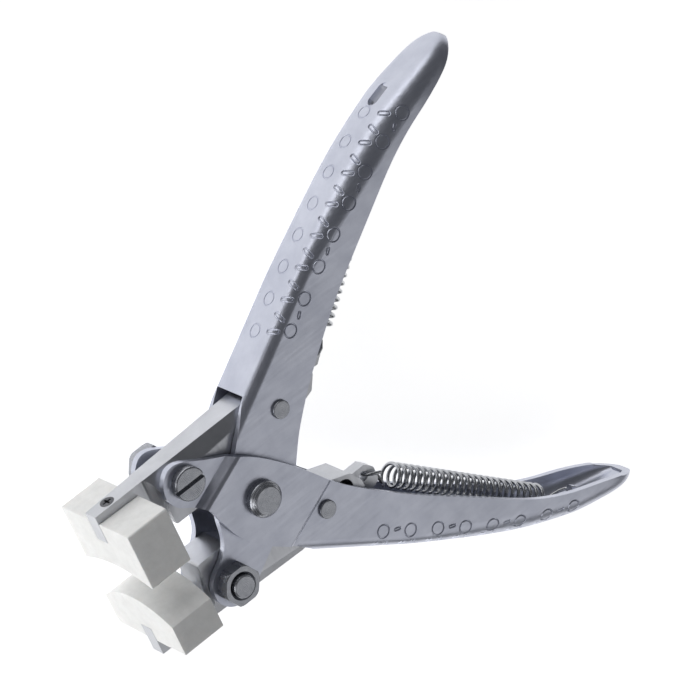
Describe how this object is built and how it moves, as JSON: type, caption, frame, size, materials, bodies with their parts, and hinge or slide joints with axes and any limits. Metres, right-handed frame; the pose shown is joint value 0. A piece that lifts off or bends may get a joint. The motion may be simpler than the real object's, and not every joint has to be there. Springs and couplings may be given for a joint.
{
  "type": "parallel jaw forming pliers",
  "caption": "Spring-opened parallel-action hand pliers with pressed steel handles and a pair of nylon forming pads, one hollow and one domed.",
  "frame": {"origin": "bottom centre of the open tool's bounding box, the tool lying on its side", "axes": "+Z along every pivot pin and up, +X forward through the jaw tips, +Y towards the domed jaw"},
  "size_m": [0.1156, 0.116, 0.025],
  "materials": {
    "handle_steel": "satin pressed stainless sheet with a stamped grip pattern",
    "jaw_steel": "milled and satin polished steel",
    "pin_steel": "turned steel with a fine lathe grain",
    "screw_steel": "turned and milled steel",
    "small_screw_steel": "dark plated steel",
    "spring_steel": "bright drawn spring wire",
    "nylon": "milky machined nylon"
  },
  "bodies": {
    "outer_handle": {"outer_handle": "handle_steel", "main_pivot_pin": "pin_steel", "outer_guide_pin": "pin_steel", "hollow_jaw_screw": "screw_steel", "hollow_jaw_nut": "screw_steel"},
    "inner_handle": {"inner_handle": "handle_steel", "inner_guide_pin": "pin_steel", "domed_jaw_screw": "screw_steel", "domed_jaw_nut": "screw_steel"},
    "hollow_jaw": {"hollow_jaw": "jaw_steel", "hollow_pad": "nylon", "hollow_pad_screw": "small_screw_steel"},
    "domed_jaw": {"domed_jaw": "jaw_steel", "domed_pad": "nylon", "domed_pad_screw": "small_screw_steel"},
    "outer_spring": {"outer_spring": "spring_steel"},
    "inner_spring": {"inner_spring": "spring_steel"}
  },
  "joints": [
    {"name": "handle_pivot", "type": "hinge", "parent": "outer_handle", "child": "inner_handle", "pos_m": [0.02588, 0, 0.0125], "axis": [0, 0, -1], "range_deg": [0, 32.2], "stiffness_Nm_per_rad": 0.5, "springref_deg": -14.32},
    {"name": "hollow_jaw_pivot", "type": "hinge", "parent": "outer_handle", "child": "hollow_jaw", "pos_m": [0.03859, -0.01303, 0.0125], "axis": [0, 0, -1], "range_deg": [0, 16.1]},
    {"name": "domed_jaw_pivot", "type": "hinge", "parent": "inner_handle", "child": "domed_jaw", "pos_m": [0.03859, 0.01303, 0.0125], "axis": [0, 0, 1], "range_deg": [0, 16.1]},
    {"name": "outer_spring_stretch", "type": "slide", "parent": "outer_handle", "child": "outer_spring", "axis": [0.9726, 0.2325, 0], "range_m": [0, 0.00732], "deforming": ["outer_spring"]},
    {"name": "inner_spring_stretch", "type": "slide", "parent": "inner_handle", "child": "inner_spring", "axis": [0.9726, -0.2325, 0], "range_m": [0, 0.00732], "deforming": ["inner_spring"]}
  ],
  "couplings": [
    {"joint": "hollow_jaw_pivot", "follows": "handle_pivot", "ratio": 0.5},
    {"joint": "domed_jaw_pivot", "follows": "handle_pivot", "ratio": 0.5},
    {"joint": "outer_spring_stretch", "follows": "handle_pivot", "m_per_rad": 0.013023},
    {"joint": "inner_spring_stretch", "follows": "handle_pivot", "m_per_rad": 0.013023}
  ]
}
